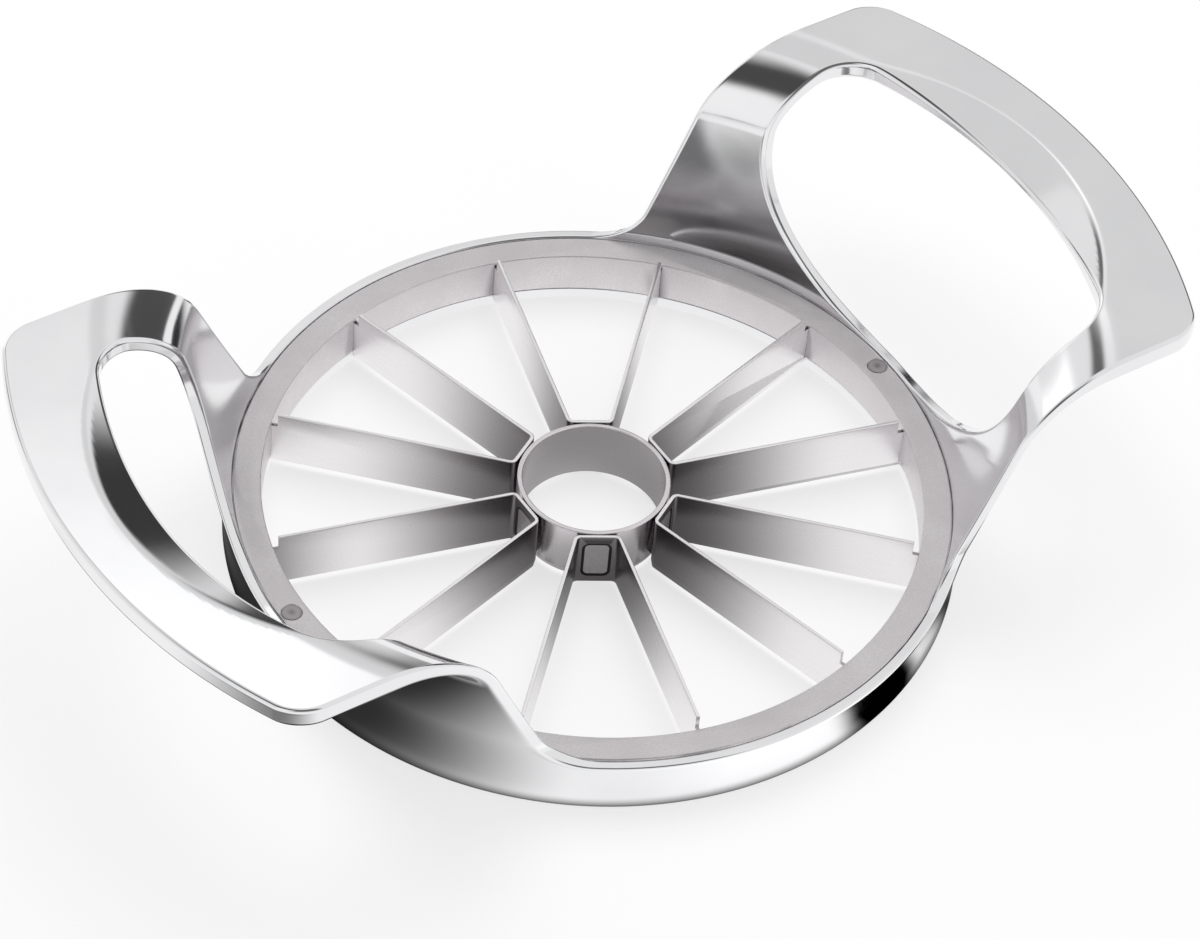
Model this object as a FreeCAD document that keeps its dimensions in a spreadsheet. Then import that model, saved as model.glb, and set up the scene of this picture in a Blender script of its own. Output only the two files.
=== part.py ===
import FreeCAD, Part
import math
import operator
import os
from types import SimpleNamespace

import Sketcher

# A rigid push-down corer and slicer: a cast ring with two bell-shaped handles, a blade
# ring seated inside it, twelve blades folded in pairs from six strips, and a core tube
# that the strips are spot-welded to.  Nothing on it moves.
#
# The origin is the centre of the ring on the face it stands on.  Z points up, the cutting
# edges point down, and X runs through both handles.  Lengths are in millimetres and
# angles in degrees.

SIZES = (
    # Cast frame: the ring and its bell
    ("ring_radius", 57.2, "outside of the ring on its foot"),
    ("ring_wall", 1.4, "wall of the ring beside the blade ring"),
    ("ring_straight", 4.0, "upright part of the outer wall"),
    ("rim_height", 9.3, "top of the ring between the handles"),
    ("rim_straight", 9.5, "upright part of the inner wall"),
    ("shoulder_height", 2.2, "floor that the blade ring stands on"),
    ("foot_break", 0.4, "chamfer of the outer foot edge"),
    ("flare_angle", 18.0, "lean of the legs from upright"),
    ("flare_radius", 34.0, "outer curve from the wall into the leg"),
    ("rim_roll", 5.0, "inner curve from the wall into the leg"),
    ("bend_outer", 12.0, "curve under the handle plate"),
    ("bend_inner", 16.0, "curve from the leg onto the handle plate"),
    # Cast frame: the two handles
    ("plate_height", 42.7, "top of the handle plates"),
    ("plate_thickness", 3.4, "thickness of the handle plates"),
    ("handle_reach", 32.8, "how far the handles stand out past the ring"),
    ("handle_width", 87.0, "width across a handle"),
    ("handle_corner", 7.5, "outer corners of a handle, seen from above"),
    ("leg_corner", 5.0, "curve where a leg's side meets the rim"),
    ("grip_width", 14.0, "width of the grip bar"),
    ("rail_width", 9.5, "width of the rails and legs beside the opening"),
    ("opening_corner", 9.0, "outer corners of a hand opening"),
    ("window_corner", 22.0, "lower corners of a hand opening"),
    ("bevel_width", 6.2, "finger bevel at the middle of a grip bar, across its top"),
    ("bevel_depth", 2.4, "finger bevel at the middle of a grip bar, down its wall"),
    ("bevel_sweep", 48.0, "angle between a finger bevel's two tips, round the ring"),
    ("edge_break", 0.45, "broken edges of the handles, legs and rim"),
    ("overrun", 5.0, "how far a cut runs past the metal"),
    # Blade ring and its rivets
    ("ledge_width", 4.5, "radial thickness of the blade ring and of its floor"),
    ("ledge_drop", 0.1, "how far the blade ring lies below the rim"),
    ("seat_clearance", 0.05, "gap round the blade ring"),
    ("seam_chamfer", 0.25, "broken outer top edge of the blade ring"),
    ("rivet_inset", 1.9, "rivet axis to the blade ring's outer edge"),
    ("rivet_shank", 2.4, "diameter of a rivet's shank"),
    ("rivet_head", 3.4, "diameter of a rivet's flush head"),
    ("rivet_angle", 90.0, "full angle of the countersink"),
    ("rivet_clearance", 0.05, "gap round a rivet's shank"),
    # Blade strips
    ("strip_count", 6, "folded strips, each with two blades"),
    ("blade_thickness", 0.6, "sheet thickness of a strip"),
    ("blade_height", 10.0, "height of a strip"),
    ("blade_bottom", 0.8, "cutting edge above the foot"),
    ("blade_edge", 0.15, "flat left on a cutting edge"),
    ("blade_grind", 1.3, "height of the ground bevels"),
    ("fold_radius", 0.6, "inside radius of a strip's folds"),
    ("blade_end_gap", 1.0, "upper blade end to the blade ring"),
    ("tab_length", 2.2, "how far a blade's tab reaches into the blade ring"),
    ("tab_drop", 2.4, "tab's top below the blade's top"),
    ("tab_clearance", 0.05, "gap round a tab in its slot"),
    # Core tube and the welds on it
    ("tube_radius", 11.9, "outside of the core tube"),
    ("tube_wall", 0.8, "wall of the core tube"),
    ("tube_grind", 1.3, "height of the tube's ground edge"),
    ("tube_edge", 0.2, "flat left on the tube's cutting edge"),
    ("weld_gap", 0.1, "strip to tube at the weld"),
    ("weld_width", 4.6, "width of a weld's mark"),
    ("weld_height", 7.2, "height of a weld's mark"),
    ("weld_corner", 1.2, "corner of a weld's mark"),
    ("weld_mark", 0.12, "depth of a weld's mark"),
)

SMOOTH_COSINE = 0.98    # faces whose normals agree this well run on smoothly
LEAST_CUT = 0.001       # mm3: a cut that takes less than this has missed the metal
NEAR = 0.01             # mm: how closely an edge lies where it is looked for
WALL_SHARE = 0.4        # the most of a wall that a broken edge may take

VOLUMES = {}            # what each cut leaves of its body

SIGNS = {"+": operator.add, "-": operator.sub, "*": operator.mul, "/": operator.truediv}


class Size:
    """A number together with the sheet expression that it follows."""

    def __init__(self, value, text):
        self.value = value
        self.text = text

    def combine(self, sign, other):
        if not isinstance(other, Size):
            other = Size(other, repr(other))
        return Size(SIGNS[sign](self.value, other.value), "(%s %s %s)" % (self.text, sign, other.text))

    def __add__(self, other):
        return self.combine("+", other)

    def __sub__(self, other):
        return self.combine("-", other)

    def __mul__(self, other):
        return self.combine("*", other)

    def __truediv__(self, other):
        return self.combine("/", other)


def add_sheet(doc):
    """Write the driving sizes into a sheet and return them with the sizes that follow."""
    sheet = doc.addObject("Spreadsheet::Sheet", "Sizes")
    s = SimpleNamespace()
    for row, (name, value, note) in enumerate(SIZES, start=1):
        sheet.set("A%d" % row, name)
        sheet.set("B%d" % row, str(value))
        sheet.set("C%d" % row, note)
        sheet.setAlias("B%d" % row, name)
        setattr(s, name, Size(value, "Sizes." + name))
    doc.recompute()

    s.seat_radius = s.ring_radius - s.ring_wall
    s.hole_radius = s.seat_radius - s.ledge_width
    s.ledge_height = s.rim_height - s.ledge_drop
    s.plate_bottom = s.plate_height - s.plate_thickness
    s.handle_radius = s.ring_radius + s.handle_reach
    s.handle_half = s.handle_width / 2
    s.opening_radius = s.handle_radius - s.grip_width
    s.opening_half = s.handle_half - s.rail_width
    s.window_top = s.rim_height + s.window_corner
    # The bevel's edge is a circle through its two tips and its widest point.
    bevel_edge = s.opening_radius + s.bevel_width
    tip_x = s.opening_radius * Size(math.cos(math.radians(s.bevel_sweep.value / 2)),
                                    "cos(Sizes.bevel_sweep / 2 * 1 deg)")
    s.bevel_centre = ((bevel_edge * bevel_edge - s.opening_radius * s.opening_radius)
                      / ((bevel_edge - tip_x) * 2))
    s.bevel_radius = bevel_edge - s.bevel_centre
    s.rivet_radius = s.seat_radius - s.rivet_inset
    s.blade_top = s.blade_bottom + s.blade_height
    s.tab_top = s.blade_top - s.tab_drop
    s.tab_radius = s.hole_radius + s.tab_length
    s.blade_end = s.hole_radius - s.blade_end_gap
    s.strip_step = Size(360.0, "360") / s.strip_count
    s.blade_angle = s.strip_step / 4
    s.head_slope = Size(1 / math.tan(math.radians(s.rivet_angle.value / 2)),
                        "1 / tan(Sizes.rivet_angle / 2 * 1 deg)")
    s.head_cone = s.rivet_head / 2 * s.head_slope
    s.base_inner = s.tube_radius + s.weld_gap
    s.base_outer = s.base_inner + s.blade_thickness
    s.base_middle = s.base_inner + s.blade_thickness / 2
    s.weld_bottom = s.blade_bottom + (s.blade_height - s.weld_height) / 2
    return s


def add_body(doc, name):
    body = doc.addObject("PartDesign::Body", name)
    body.Label = name
    return body


def origin_feature(body, role):
    return next(f for f in body.Origin.OriginFeatures if f.Role == role)


def add_sketch(body, name, role, lift=None, turn=None):
    """A sketch on an origin plane, lifted along its normal and turned in it."""
    sketch = body.newObject("Sketcher::SketchObject", name)
    sketch.AttachmentSupport = [(origin_feature(body, role), "")]
    sketch.MapMode = "FlatFace"
    if turn is not None:
        rotation = FreeCAD.Rotation(FreeCAD.Vector(0, 0, 1), turn.value)
        sketch.AttachmentOffset = FreeCAD.Placement(FreeCAD.Vector(), rotation)
        sketch.setExpression("AttachmentOffset.Rotation.Angle", "%s * 1 deg" % turn.text)
    if lift is not None:
        sketch.setExpression("AttachmentOffset.Base.z", lift.text)
    return sketch


def add_feature(body, kind, name, profile):
    feature = body.newObject("PartDesign::" + kind, name)
    feature.Profile = profile
    return feature


def hold(sketch, kind, size, *where):
    """Hold one measure of a sketch to its size in the sheet."""
    value = math.radians(size.value) if kind == "Angle" else size.value
    index = sketch.addConstraint(Sketcher.Constraint(kind, *where, value))
    sketch.setExpression("Constraints[%d]" % index, size.text)


def place(sketch, geometry, end, x=None, y=None):
    """Hold a point of a sketch at a distance from the sketch's origin."""
    if x is not None:
        hold(sketch, "DistanceX", x, -1, 1, geometry, end)
    if y is not None:
        hold(sketch, "DistanceY", y, -1, 1, geometry, end)


def level(sketch, *lines):
    for line in lines:
        sketch.addConstraint(Sketcher.Constraint("Horizontal", line))


def upright(sketch, *lines):
    for line in lines:
        sketch.addConstraint(Sketcher.Constraint("Vertical", line))


class Outline:
    """Lines and arcs drawn one after another in a sketch and joined as they go."""

    def __init__(self, sketch, x, y):
        self.sketch = sketch
        self.here = FreeCAD.Vector(x, y, 0)
        self.ends = []

    def line(self, x, y, smooth=False):
        end = FreeCAD.Vector(x, y, 0)
        index = self.sketch.addGeometry(Part.LineSegment(self.here, end))
        return self.join(index, 1, 2, end, smooth)

    def arc(self, x, y, first, last, smooth=True):
        """An arc from where the outline is, round the centre (x, y), between two angles."""
        centre = FreeCAD.Vector(x, y, 0)
        radius = self.here.distanceToPoint(centre)
        circle = Part.Circle(centre, FreeCAD.Vector(0, 0, 1), radius)
        low, high = math.radians(min(first, last)), math.radians(max(first, last))
        index = self.sketch.addGeometry(Part.ArcOfCircle(circle, low, high))
        start, stop = (1, 2) if last > first else (2, 1)
        turn = math.radians(last)
        end = centre + FreeCAD.Vector(math.cos(turn), math.sin(turn), 0) * radius
        return self.join(index, start, stop, end, smooth)

    def join(self, index, start, stop, end, smooth):
        if self.ends:
            self.meet(self.ends[-1], (index, start), smooth)
        else:
            self.first = (index, start)
        self.ends.append((index, stop))
        self.here = end
        return index

    def meet(self, before, after, smooth):
        kind = "Tangent" if smooth else "Coincident"
        self.sketch.addConstraint(Sketcher.Constraint(kind, *before, *after))

    def close(self, smooth=False):
        self.meet(self.ends[-1], self.first, smooth)


def add_circle(sketch, radius, x=None):
    """A circle round the sketch's origin, or round a point on its X axis."""
    centre = FreeCAD.Vector(0 if x is None else x.value, 0, 0)
    index = sketch.addGeometry(Part.Circle(centre, FreeCAD.Vector(0, 0, 1), radius.value))
    hold(sketch, "Radius", radius, index)
    if x is None:
        sketch.addConstraint(Sketcher.Constraint("Coincident", index, 3, -1, 1))
    else:
        sketch.addConstraint(Sketcher.Constraint("PointOnObject", index, 3, -1))
        hold(sketch, "DistanceX", x, -1, 1, index, 3)
    return index


def middle_of(edge):
    return edge.valueAt((edge.FirstParameter + edge.LastParameter) / 2)


def edges_where(shape, test):
    """The names of the edges that pass the test."""
    return ["Edge%d" % number for number, edge in enumerate(shape.Edges, start=1) if test(edge)]


def is_sharp(shape, edge):
    """Whether the two faces beside an edge meet at an angle."""
    middle = middle_of(edge)
    faces = shape.ancestorsOfType(edge, Part.Face)
    normals = [face.normalAt(*face.Surface.parameter(middle)) for face in faces]
    return len(normals) == 2 and normals[0].dot(normals[1]) < SMOOTH_COSINE


def cut(body, build, *given):
    """Add a cutting feature and stop if it takes no metal away."""
    before = VOLUMES.get(body.Tip.Name)
    if before is None:
        before = body.Shape.Volume
    feature = build(body, *given)
    body.Tip = feature
    body.Document.recompute()
    VOLUMES[feature.Name] = body.Shape.Volume
    if VOLUMES[feature.Name] > before - LEAST_CUT:
        raise RuntimeError("%s cuts nothing" % feature.Label)
    return feature


def pocket(body, name, sketch, depth=None, upward=False, both_ways=False):
    """A pocket through everything, or as deep as the size given."""
    feature = add_feature(body, "Pocket", name, sketch)
    if depth is None:
        feature.Type = "ThroughAll"
    else:
        feature.setExpression("Length", depth.text)
    feature.Reversed = upward
    feature.SideType = "Symmetric" if both_ways else "One side"
    return feature


def turned(body, kind, name, sketch, angle=None):
    """A Revolution or Groove round the sketch's vertical axis, all round or part way."""
    feature = add_feature(body, kind, name, sketch)
    feature.ReferenceAxis = (sketch, ["V_Axis"])
    if angle is None:
        feature.Angle = 360
    else:
        feature.setExpression("Angle", angle.text)
        feature.Midplane = True
    return feature


def mirrored(body, name, originals, role):
    feature = body.newObject("PartDesign::Mirrored", name)
    feature.Originals = originals
    feature.MirrorPlane = (origin_feature(body, role), [""])
    return feature


def repeated(body, name, originals, count):
    """Copies spread evenly round the Z axis."""
    feature = body.newObject("PartDesign::PolarPattern", name)
    feature.Originals = originals
    feature.Axis = (origin_feature(body, "Z_Axis"), [""])
    feature.Angle = 360
    if isinstance(count, Size):
        feature.setExpression("Occurrences", count.text)
    else:
        feature.Occurrences = count
    return feature


def rounded(body, name, edges, radius):
    feature = body.newObject("PartDesign::Fillet", name)
    feature.Base = (feature.BaseFeature, edges)
    feature.setExpression("Radius", radius.text)
    return feature


def chamfered(body, name, edges, size):
    feature = body.newObject("PartDesign::Chamfer", name)
    feature.Base = (feature.BaseFeature, edges)
    feature.setExpression("Size", size.text)
    return feature


# ---------------------------------------------------------------- cast frame

def bell_side(radius, straight, curve, bend, top, lean):
    """Where one side of the bell changes from wall to curve, leg, bend and plate."""
    across, along = math.sin(math.radians(lean)), math.cos(math.radians(lean))
    curve_centre = (radius + curve, straight)
    leg_foot = (radius + curve * (1 - along), straight + curve * across)
    leg_head_z = top - bend + bend * across
    leg_head = (leg_foot[0] + (leg_head_z - leg_foot[1]) * across / along, leg_head_z)
    bend_centre = (leg_head[0] + bend * along, top - bend)
    return SimpleNamespace(curve_centre=curve_centre, leg_foot=leg_foot,
                           leg_head=leg_head, bend_centre=bend_centre)


def casting_section(body, s):
    """Half section of the ring, the bell and the plate, before the sides are cut, and
    the lines of its outer side."""
    lean = s.flare_angle.value
    outer = bell_side(s.ring_radius.value, s.ring_straight.value, s.flare_radius.value,
                      s.bend_outer.value, s.plate_bottom.value, lean)
    inner = bell_side(s.seat_radius.value, s.rim_straight.value, s.rim_roll.value,
                      s.bend_inner.value, s.plate_height.value, lean)
    sketch = add_sketch(body, "casting_section", "XZ_Plane")
    path = Outline(sketch, s.hole_radius.value, 0)
    foot = path.line(s.ring_radius.value, 0)
    wall = path.line(s.ring_radius.value, s.ring_straight.value)
    flare = path.arc(*outer.curve_centre, 180, 180 - lean)
    leg_back = path.line(*outer.leg_head, smooth=True)
    under_bend = path.arc(*outer.bend_centre, 180 - lean, 90)
    underside = path.line(s.handle_radius.value, s.plate_bottom.value, smooth=True)
    plate_edge = path.line(s.handle_radius.value, s.plate_height.value)
    plate_top = path.line(inner.bend_centre[0], s.plate_height.value)
    top_bend = path.arc(*inner.bend_centre, 90, 180 - lean)
    leg_face = path.line(*inner.leg_foot, smooth=True)
    roll = path.arc(*inner.curve_centre, 180 - lean, 180)
    seat = path.line(s.seat_radius.value, s.shoulder_height.value, smooth=True)
    shoulder = path.line(s.hole_radius.value, s.shoulder_height.value)
    hole = path.line(s.hole_radius.value, 0)
    path.close()

    level(sketch, foot, underside, plate_top, shoulder)
    upright(sketch, wall, plate_edge, seat, hole)
    sketch.addConstraint(Sketcher.Constraint("PointOnObject", foot, 1, -1))
    sketch.addConstraint(Sketcher.Constraint("Parallel", leg_back, leg_face))
    place(sketch, foot, 1, x=s.hole_radius)
    place(sketch, wall, 2, x=s.ring_radius, y=s.ring_straight)
    place(sketch, plate_edge, 2, x=s.handle_radius, y=s.plate_height)
    place(sketch, seat, 2, x=s.seat_radius, y=s.shoulder_height)
    place(sketch, roll, 2, y=s.rim_straight)
    hold(sketch, "DistanceY", s.plate_thickness, plate_edge, 1, plate_edge, 2)
    hold(sketch, "Angle", Size(90.0, "90") - s.flare_angle, leg_back)
    for arc, radius in ((flare, s.flare_radius), (roll, s.rim_roll),
                        (under_bend, s.bend_outer), (top_bend, s.bend_inner)):
        hold(sketch, "Radius", radius, arc)
    return sketch, (flare, leg_back, under_bend, underside)


def side_trim(body, s):
    """What is cut away beside a handle: all metal above the rim, with a curved corner."""
    sketch = add_sketch(body, "side_trim_outline", "YZ_Plane")
    corner = s.leg_corner.value
    near, low = s.handle_half.value, s.rim_height.value
    far = s.handle_radius + s.overrun
    high = s.plate_height + s.overrun
    path = Outline(sketch, near, high.value)
    leg = path.line(near, low + corner)
    curve = path.arc(near + corner, low + corner, 180, 270)
    rim = path.line(far.value, low, smooth=True)
    side = path.line(far.value, high.value)
    top = path.line(near, high.value)
    path.close()
    level(sketch, rim, top)
    upright(sketch, leg, side)
    place(sketch, leg, 1, x=s.handle_half, y=high)
    place(sketch, rim, 2, x=far, y=s.rim_height)
    hold(sketch, "Radius", s.leg_corner, curve)
    return sketch


def window(body, s):
    """The lower end of a hand opening, cut straight through the leg."""
    sketch = add_sketch(body, "window_outline", "YZ_Plane")
    half, low = s.opening_half.value, s.rim_height.value
    high, corner = s.window_top.value, s.window_corner.value
    path = Outline(sketch, -half, high)
    left = path.arc(corner - half, high, 180, 270)
    sill = path.line(half - corner, low, smooth=True)
    right = path.arc(half - corner, high, 270, 360)
    top = path.line(-half, high)
    path.close()
    level(sketch, sill, top)
    sketch.addConstraint(Sketcher.Constraint("Horizontal", right, 2, right, 3))
    place(sketch, right, 2, x=s.opening_half, y=s.window_top)
    hold(sketch, "DistanceX", s.opening_half * 2, top, 2, top, 1)
    hold(sketch, "Radius", s.window_corner, left)
    hold(sketch, "Radius", s.window_corner, right)
    return sketch


def hand_opening(body, s):
    """Both hand openings seen from above: straight sides and an arc along each grip."""
    sketch = add_sketch(body, "opening_outline", "XY_Plane", lift=s.window_top)
    half, reach, corner = s.opening_half.value, s.opening_radius.value, s.opening_corner.value
    centre_y = half - corner
    centre_x = math.sqrt((reach - corner) ** 2 - centre_y ** 2)
    turn = math.degrees(math.atan2(centre_y, centre_x))
    path = Outline(sketch, centre_x, -half)
    corners = [path.arc(centre_x, -centre_y, -90, -turn)]
    right_grip = path.arc(0, 0, -turn, turn)
    corners.append(path.arc(centre_x, centre_y, turn, 90))
    far_side = path.line(-centre_x, half, smooth=True)
    corners.append(path.arc(-centre_x, centre_y, 90, 180 - turn))
    left_grip = path.arc(0, 0, 180 - turn, 180 + turn)
    corners.append(path.arc(-centre_x, -centre_y, 180 + turn, 270))
    near_side = path.line(centre_x, -half, smooth=True)
    path.close(smooth=True)
    level(sketch, near_side, far_side)
    for grip in (right_grip, left_grip):
        sketch.addConstraint(Sketcher.Constraint("Coincident", grip, 3, -1, 1))
        hold(sketch, "Radius", s.opening_radius, grip)
    for arc in corners:
        hold(sketch, "Radius", s.opening_corner, arc)
    place(sketch, far_side, 1, y=s.opening_half)
    hold(sketch, "DistanceY", s.opening_half * 2, near_side, 2, far_side, 1)
    return sketch


def side_trim_cut(body, s):
    return pocket(body, "side_trim", side_trim(body, s), both_ways=True)


def window_cut(body, s):
    return pocket(body, "hand_window", window(body, s), both_ways=True)


def opening_cut(body, s):
    return pocket(body, "hand_opening", hand_opening(body, s), upward=True)


def finger_bevel(body, s):
    """A crescent slope along the inner top edge of a grip bar: a wide, shallow
    countersink whose axis lies between the ring's axis and the grip."""
    cone = body.newObject("PartDesign::SubtractiveCone", "finger_bevel")
    cone.AttachmentSupport = [(origin_feature(body, "XY_Plane"), "")]
    cone.MapMode = "FlatFace"
    cone.setExpression("Radius1", (s.bevel_radius - s.bevel_width).text)
    cone.setExpression("Radius2", s.bevel_radius.text)
    cone.setExpression("Height", s.bevel_depth.text)
    cone.setExpression("AttachmentOffset.Base.x", s.bevel_centre.text)
    cone.setExpression("AttachmentOffset.Base.z", (s.plate_height - s.bevel_depth).text)
    return cone


def rivet_hole(body, s):
    """A round hole on the X axis for a rivet's shank."""
    sketch = add_sketch(body, "rivet_hole_outline", "XY_Plane")
    add_circle(sketch, s.rivet_shank / 2 + s.rivet_clearance, s.rivet_radius)
    return pocket(body, "rivet_hole", sketch, both_ways=True)


def add_frame_casting(doc, s):
    """A turned bell with its sides trimmed off, a window in each leg and two hand openings."""
    body = add_body(doc, "frame_casting")
    section, outer_lines = casting_section(body, s)
    turned(body, "Revolution", "bell", section)
    doc.recompute()
    trim = cut(body, side_trim_cut, s)
    cut(body, mirrored, "far_side_trim", [trim], "XZ_Plane")
    cut(body, window_cut, s)
    cut(body, opening_cut, s)

    hole = cut(body, rivet_hole, s)
    cut(body, repeated, "rivet_holes", [hole], 2)

    def is_foot(edge):
        middle = middle_of(edge)
        return abs(middle.z) < NEAR and abs(math.hypot(middle.x, middle.y) - s.ring_radius.value) < NEAR

    cut(body, chamfered, "foot", edges_where(body.Shape, is_foot), s.foot_break)
    reach, low, high = s.handle_radius.value, s.plate_bottom.value, s.plate_height.value

    def is_handle_corner(edge):
        middle = middle_of(edge)
        upright_edge = abs(edge.BoundBox.ZLength - (high - low)) < NEAR and low < middle.z < high
        return upright_edge and abs(math.hypot(middle.x, middle.y) - reach) < NEAR

    corners = edges_where(body.Shape, is_handle_corner)
    cut(body, rounded, "handle_corners", corners, s.handle_corner)
    shape = body.Shape
    outer_side = Part.Compound([section.Geometry[line].toShape() for line in outer_lines])

    def is_bare_edge(edge):
        """Whether an edge is to be broken.  Below the handles, the outline of a hand
        opening stays as it is trimmed."""
        middle = middle_of(edge)
        radius = math.hypot(middle.x, middle.y)
        on_foot = middle.z < s.ring_straight.value + NEAR
        on_seat = radius < s.seat_radius.value + NEAR and middle.z < s.rim_height.value - NEAR
        round_opening = (abs(middle.y) < s.opening_half.value + NEAR
                         and radius < s.opening_radius.value + NEAR)
        spot = Part.Vertex(radius, middle.z, 0)
        below = round_opening and spot.distToShape(outer_side)[0] < NEAR
        return not (on_foot or on_seat or below) and is_sharp(shape, edge)

    limit = Size(min(s.edge_break.value, s.ring_wall.value * WALL_SHARE),
                 "min(%s; %s * %s)" % (s.edge_break.text, s.ring_wall.text, WALL_SHARE))
    cut(body, chamfered, "broken_edges", edges_where(shape, is_bare_edge), limit)

    bevel = cut(body, finger_bevel, s)
    cut(body, repeated, "finger_bevels", [bevel], 2)
    return body


# ---------------------------------------------------------------- blade ring and rivets

def add_blade_ring(doc, s):
    """The flat inner ring: its underside is slotted for the blades' tabs."""
    body = add_body(doc, "blade_ring")
    sketch = add_sketch(body, "ring_outline", "XY_Plane", lift=s.shoulder_height)
    add_circle(sketch, s.seat_radius - s.seat_clearance)
    add_circle(sketch, s.hole_radius)
    ring = add_feature(body, "Pad", "ring", sketch)
    ring.setExpression("Length", (s.ledge_height - s.shoulder_height).text)
    doc.recompute()

    def is_seam(edge):
        middle = middle_of(edge)
        reach = s.seat_radius.value - s.seat_clearance.value
        return (abs(middle.z - s.ledge_height.value) < NEAR
                and abs(math.hypot(middle.x, middle.y) - reach) < NEAR)

    cut(body, chamfered, "seam", edges_where(body.Shape, is_seam), s.seam_chamfer)
    slot = cut(body, tab_slot, s)
    cut(body, repeated, "tab_slots", [slot], s.strip_count * 2)
    hole = cut(body, rivet_hole, s)
    cut(body, repeated, "rivet_holes", [hole], 2)
    sink = cut(body, countersink, s)
    cut(body, repeated, "countersinks", [sink], 2)
    return body


def tab_slot(body, s):
    """One radial slot, open below and towards the middle, that a blade's tab fits."""
    sketch = add_sketch(body, "slot_outline", "XY_Plane", lift=s.shoulder_height, turn=s.blade_angle)
    half = (s.blade_thickness / 2 + s.tab_clearance)
    near, far = s.hole_radius - s.blade_end_gap, s.tab_radius + s.tab_clearance
    path = Outline(sketch, near.value, -half.value)
    side = path.line(far.value, -half.value)
    end = path.line(far.value, half.value)
    other = path.line(near.value, half.value)
    mouth = path.line(near.value, -half.value)
    path.close()
    level(sketch, side, other)
    upright(sketch, end, mouth)
    hold(sketch, "DistanceY", half * 2, end, 1, end, 2)
    place(sketch, end, 2, x=far, y=half)
    place(sketch, mouth, 1, x=near)
    depth = s.tab_top + s.tab_clearance - s.shoulder_height
    return pocket(body, "tab_slot", sketch, depth=depth, upward=True)


def countersink(body, s):
    """The seat of a rivet's flush head."""
    cone = body.newObject("PartDesign::SubtractiveCone", "countersink")
    cone.AttachmentSupport = [(origin_feature(body, "XY_Plane"), "")]
    cone.MapMode = "FlatFace"
    cone.Radius1 = 0
    cone.setExpression("Radius2", (s.rivet_head / 2).text)
    cone.setExpression("Height", s.head_cone.text)
    cone.setExpression("AttachmentOffset.Base.x", s.rivet_radius.text)
    cone.setExpression("AttachmentOffset.Base.z", "%s - %s" % (s.ledge_height.text, s.head_cone.text))
    return cone


def add_ring_rivets(doc, s):
    """Two countersunk rivets that hold the blade ring down in the casting."""
    body = add_body(doc, "ring_rivets")
    body.AllowCompound = True
    sketch = add_sketch(body, "shank_outline", "XY_Plane")
    add_circle(sketch, s.rivet_shank / 2, s.rivet_radius)
    shank = add_feature(body, "Pad", "shank", sketch)
    shank.setExpression("Length", s.ledge_height.text)
    doc.recompute()
    head = body.newObject("PartDesign::AdditiveCone", "head")
    head.AttachmentSupport = [(origin_feature(body, "XY_Plane"), "")]
    head.MapMode = "FlatFace"
    head.setExpression("Radius1", (s.rivet_shank / 2).text)
    head.setExpression("Radius2", (s.rivet_head / 2).text)
    height = (s.rivet_head - s.rivet_shank) / 2 * s.head_slope
    head.setExpression("Height", height.text)
    head.setExpression("AttachmentOffset.Base.x", s.rivet_radius.text)
    head.setExpression("AttachmentOffset.Base.z", (s.ledge_height - height).text)
    doc.recompute()
    pair = repeated(body, "rivets", [shank, head], 2)
    body.Tip = pair
    doc.recompute()
    return body


# ---------------------------------------------------------------- core tube and strips

def add_core_tube(doc, s):
    """The tube that cuts the core out, ground to an edge from outside."""
    body = add_body(doc, "core_tube")
    sketch = add_sketch(body, "tube_section", "XZ_Plane")
    inside = s.tube_radius - s.tube_wall
    bottom, top = s.blade_bottom.value, s.blade_top.value
    grind = s.blade_bottom + s.tube_grind
    path = Outline(sketch, inside.value, bottom)
    edge = path.line(inside.value + s.tube_edge.value, bottom)
    path.line(s.tube_radius.value, grind.value)
    outside = path.line(s.tube_radius.value, top)
    mouth = path.line(inside.value, top)
    bore = path.line(inside.value, bottom)
    path.close()
    level(sketch, edge, mouth)
    upright(sketch, outside, bore)
    place(sketch, edge, 1, x=inside, y=s.blade_bottom)
    hold(sketch, "DistanceX", s.tube_edge, edge, 1, edge, 2)
    place(sketch, outside, 1, x=s.tube_radius, y=grind)
    place(sketch, mouth, 1, y=s.blade_top)
    turned(body, "Revolution", "tube", sketch)
    doc.recompute()
    return body


def strip_section(body, s):
    """Cross-section of the strip at its fold line: a flat sheet ground from both sides."""
    sketch = add_sketch(body, "strip_section", "XZ_Plane")
    near, middle, far = s.base_inner.value, s.base_middle.value, s.base_outer.value
    bottom, top = s.blade_bottom.value, s.blade_top.value
    grind = s.blade_bottom + s.blade_grind
    half_edge = s.blade_edge / 2
    path = Outline(sketch, near, grind.value)
    inner_slope = path.line(middle - half_edge.value, bottom)
    edge = path.line(middle + half_edge.value, bottom)
    path.line(far, grind.value)
    outer_face = path.line(far, top)
    back = path.line(near, top)
    inner_face = path.line(near, grind.value)
    path.close()
    level(sketch, edge, back)
    upright(sketch, outer_face, inner_face)
    place(sketch, inner_slope, 1, x=s.base_inner, y=grind)
    place(sketch, edge, 1, x=s.base_middle - half_edge, y=s.blade_bottom)
    hold(sketch, "DistanceX", s.blade_edge, edge, 1, edge, 2)
    place(sketch, outer_face, 1, x=s.base_outer, y=grind)
    place(sketch, outer_face, 2, y=s.blade_top)
    return sketch


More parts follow.
